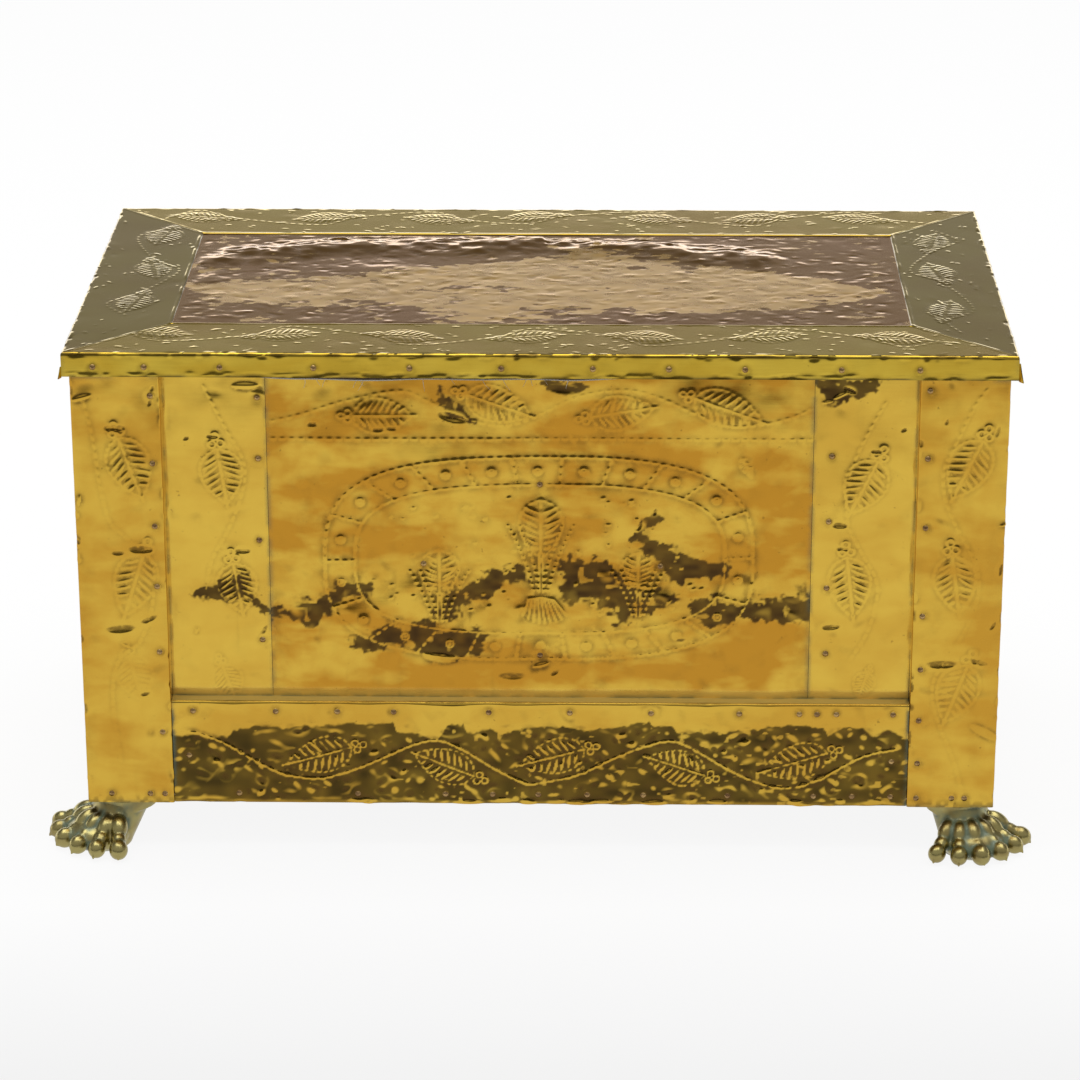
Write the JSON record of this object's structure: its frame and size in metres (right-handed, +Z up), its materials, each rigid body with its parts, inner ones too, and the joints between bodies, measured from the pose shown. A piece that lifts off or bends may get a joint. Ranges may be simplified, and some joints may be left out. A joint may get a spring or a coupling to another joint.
{
  "type": "brass-clad chest",
  "caption": "Wooden storage chest clad in embossed brass sheet, with a hinged lid, planted stiles and rail, and cast lion's paw feet.",
  "frame": {"origin": "on the floor, under the middle of the chest", "axes": "+X to the right along the front, +Y from the front to the back, +Z up"},
  "size_m": [0.7127, 0.4189, 0.3756],
  "materials": {
    "case_wood": "bare, aged softwood",
    "embossed_brass": "embossed sheet, polished and tarnished in the hollows",
    "border_brass": "embossed sheet, olive tarnish",
    "lid_brass": "hammered sheet, coppery brown tarnish",
    "cast_brass": "cast, polished on the high places, grey-green patina in the grooves",
    "hinge_brass": "plain, dull",
    "pin_metal": "domed heads, worn bright with dark rims",
    "screw_steel": "dull steel",
    "lining_cloth": "pale woven cloth"
  },
  "bodies": {
    "case": {"front_board": "case_wood", "back_board": "case_wood", "bottom_board": "case_wood", "left_end_board": "case_wood", "right_end_board": "case_wood", "front_left_batten": "case_wood", "front_right_batten": "case_wood", "back_left_batten": "case_wood", "back_right_batten": "case_wood", "left_stile": "case_wood", "right_stile": "case_wood", "front_rail": "case_wood", "front_centre_sheet": "embossed_brass", "front_left_sheet": "embossed_brass", "front_right_sheet": "embossed_brass", "left_stile_sheet": "embossed_brass", "right_stile_sheet": "embossed_brass", "rail_sheet": "embossed_brass", "left_end_sheet": "embossed_brass", "right_end_sheet": "embossed_brass", "front_left_paw": "cast_brass", "front_right_paw": "cast_brass", "back_left_paw": "cast_brass", "back_right_paw": "cast_brass", "left_hinge_case_leaf": "hinge_brass", "right_hinge_case_leaf": "hinge_brass", "left_hinge_pin": "hinge_brass", "right_hinge_pin": "hinge_brass", "front_sheet_pins": "pin_metal", "stile_pins": "pin_metal", "rail_pins": "pin_metal", "end_pins": "pin_metal", "hinge_case_screws": "screw_steel", "carcass_nails": "screw_steel", "foot_studs": "screw_steel"},
    "lid": {"lid_board": "case_wood", "lid_lining": "lining_cloth", "lid_top_sheet": "lid_brass", "lid_front_border": "border_brass", "lid_back_border": "border_brass", "lid_left_border": "border_brass", "lid_right_border": "border_brass", "left_hinge_lid_leaf": "hinge_brass", "right_hinge_lid_leaf": "hinge_brass", "lid_pins": "pin_metal", "hinge_lid_screws": "screw_steel"}
  },
  "joints": [
    {"name": "lid_hinge", "type": "hinge", "parent": "case", "child": "lid", "pos_m": [0, 0.1782, 0.3576], "axis": [-1, 0, 0], "range_deg": [0, 100]}
  ]
}
